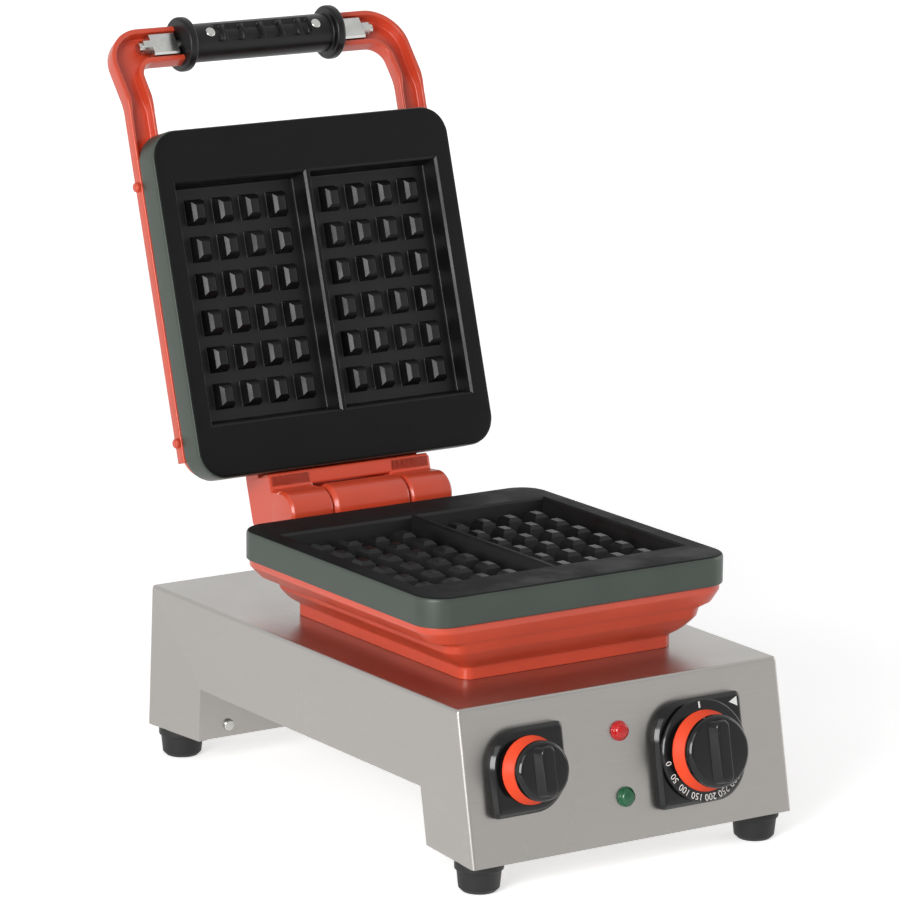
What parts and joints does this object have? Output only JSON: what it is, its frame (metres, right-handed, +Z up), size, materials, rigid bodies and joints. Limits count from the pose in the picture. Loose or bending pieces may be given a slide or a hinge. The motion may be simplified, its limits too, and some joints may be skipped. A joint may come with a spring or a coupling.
{
  "type": "waffle maker",
  "caption": "Commercial waffle iron with a hinged lid and handle, cast red housings, black waffle plates and a folded steel base with timer and thermostat knobs.",
  "frame": {"origin": "on the floor under the middle of the base's footprint, in the plane of the feet", "axes": "+Z up, -Y to the front with the knobs, +X to the right as the cook sees it; rest pose is the lid open"},
  "size_m": [0.2515, 0.5157, 0.5015],
  "materials": {
    "steel": "fine brushed stainless",
    "red_paint": "smooth red enamel on castings",
    "black_iron": "seasoned black cooking face, grey edge",
    "plated": "bright zinc plate",
    "red_bolt": "red enamel",
    "rubber": "black rubber",
    "black_plastic": "glossy black",
    "grip_plastic": "satin black",
    "orange_plastic": "orange red",
    "red_lens": "clear red",
    "green_lens": "clear green",
    "inner_plastic": "moulded black",
    "terminal_plastic": "moulded cream",
    "element_steel": "dull heat tinted steel",
    "mineral_pad": "pressed mineral fibre",
    "bronze": "plain bearing bronze"
  },
  "bodies": {
    "base": {"base_housing": "steel", "bottom_pan": "steel", "pan_screws": "plated", "foot_front_left": "rubber", "foot_front_right": "rubber", "foot_rear_left": "rubber", "foot_rear_right": "rubber", "foot_screws": "plated", "foot_nuts": "plated", "lower_casting": "red_paint", "casting_bolts": "plated", "lower_plate": "black_iron", "lower_plate_screws": "plated", "lower_element": "element_steel", "lower_insulation": "mineral_pad", "timer_bezel": "black_plastic", "timer_body": "inner_plastic", "thermostat_bezel": "black_plastic", "thermostat_body": "inner_plastic", "control_screws": "plated", "red_lamp_lens": "red_lens", "red_lamp_body": "inner_plastic", "green_lamp_lens": "green_lens", "green_lamp_body": "inner_plastic", "lamp_nuts": "inner_plastic", "cable_gland": "inner_plastic", "gland_cap": "inner_plastic", "gland_locknut": "inner_plastic", "terminal_block": "terminal_plastic", "hinge_pin": "plated"},
    "lid": {"upper_casting": "red_paint", "hinge_bushes": "bronze", "hinge_clip": "plated", "upper_plate": "black_iron", "upper_plate_screws": "plated", "upper_element": "element_steel", "upper_insulation": "mineral_pad", "handle_arm_left": "red_paint", "handle_arm_right": "red_paint", "arm_bolts": "red_bolt", "handle_rod": "plated", "rod_blocks": "plated", "rod_nuts": "plated", "grip": "grip_plastic", "grip_screws": "plated"},
    "timer_control": {"timer_knob": "black_plastic", "timer_ring": "orange_plastic", "timer_shaft": "plated"},
    "thermostat_control": {"thermostat_knob": "black_plastic", "thermostat_ring": "orange_plastic", "thermostat_dial": "black_plastic", "thermostat_shaft": "plated"}
  },
  "joints": [
    {"name": "lid_hinge", "type": "hinge", "parent": "base", "child": "lid", "pos_m": [0, 0.1245, 0.1782], "axis": [-1, 0, 0], "range_deg": [-107, 0]},
    {"name": "timer_turn", "type": "hinge", "parent": "base", "child": "timer_control", "pos_m": [-0.0805, -0.19266, 0.077], "axis": [0, -0.9808, 0.1952], "range_deg": [-300, 0]},
    {"name": "thermostat_turn", "type": "hinge", "parent": "base", "child": "thermostat_control", "pos_m": [0.0535, -0.19405, 0.07], "axis": [0, -0.9808, 0.1952], "range_deg": [-270, 0]}
  ]
}
